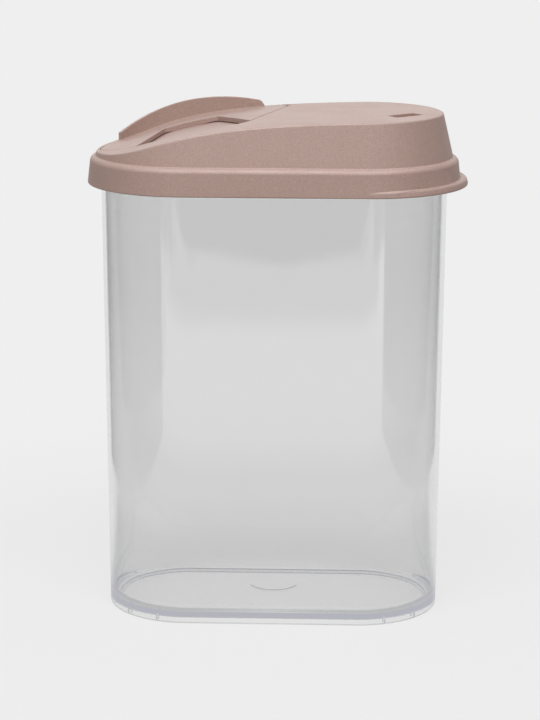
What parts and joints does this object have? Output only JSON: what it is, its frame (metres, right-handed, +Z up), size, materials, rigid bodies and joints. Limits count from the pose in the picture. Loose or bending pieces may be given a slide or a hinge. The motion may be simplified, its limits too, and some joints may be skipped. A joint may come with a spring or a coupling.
{
  "type": "cereal container with flip spout",
  "caption": "Tall clear obround container for dry food with a press-on lid, an S-curved crown and a flush hinged pour flap with an arched grip.",
  "frame": {"origin": "middle of the plane that the foot stands on", "axes": "+Z up, -X towards the pouring end, +X towards the lift tab, +Y away from the side with the thumb notch"},
  "size_m": [0.183, 0.0966, 0.2473],
  "materials": {
    "clear_plastic": "clear, polished, faintly blue at the edges",
    "lid_plastic": "dusty pink, fine spark-eroded grain",
    "flap_plastic": "dusty pink, fine spark-eroded grain"
  },
  "bodies": {
    "container": {"container": "clear_plastic"},
    "lid": {"lid": "lid_plastic"},
    "flap": {"pour_flap": "flap_plastic"}
  },
  "joints": [
    {"name": "lid_lift", "type": "slide", "parent": "container", "child": "lid", "axis": [0, 0, 1], "range_m": [0, 0.06]},
    {"name": "flap_hinge", "type": "hinge", "parent": "lid", "child": "flap", "pos_m": [-0.01474, -0.00935, 0.23837], "axis": [0.3452, 0.9381, 0.0274], "range_deg": [0, 100]}
  ]
}
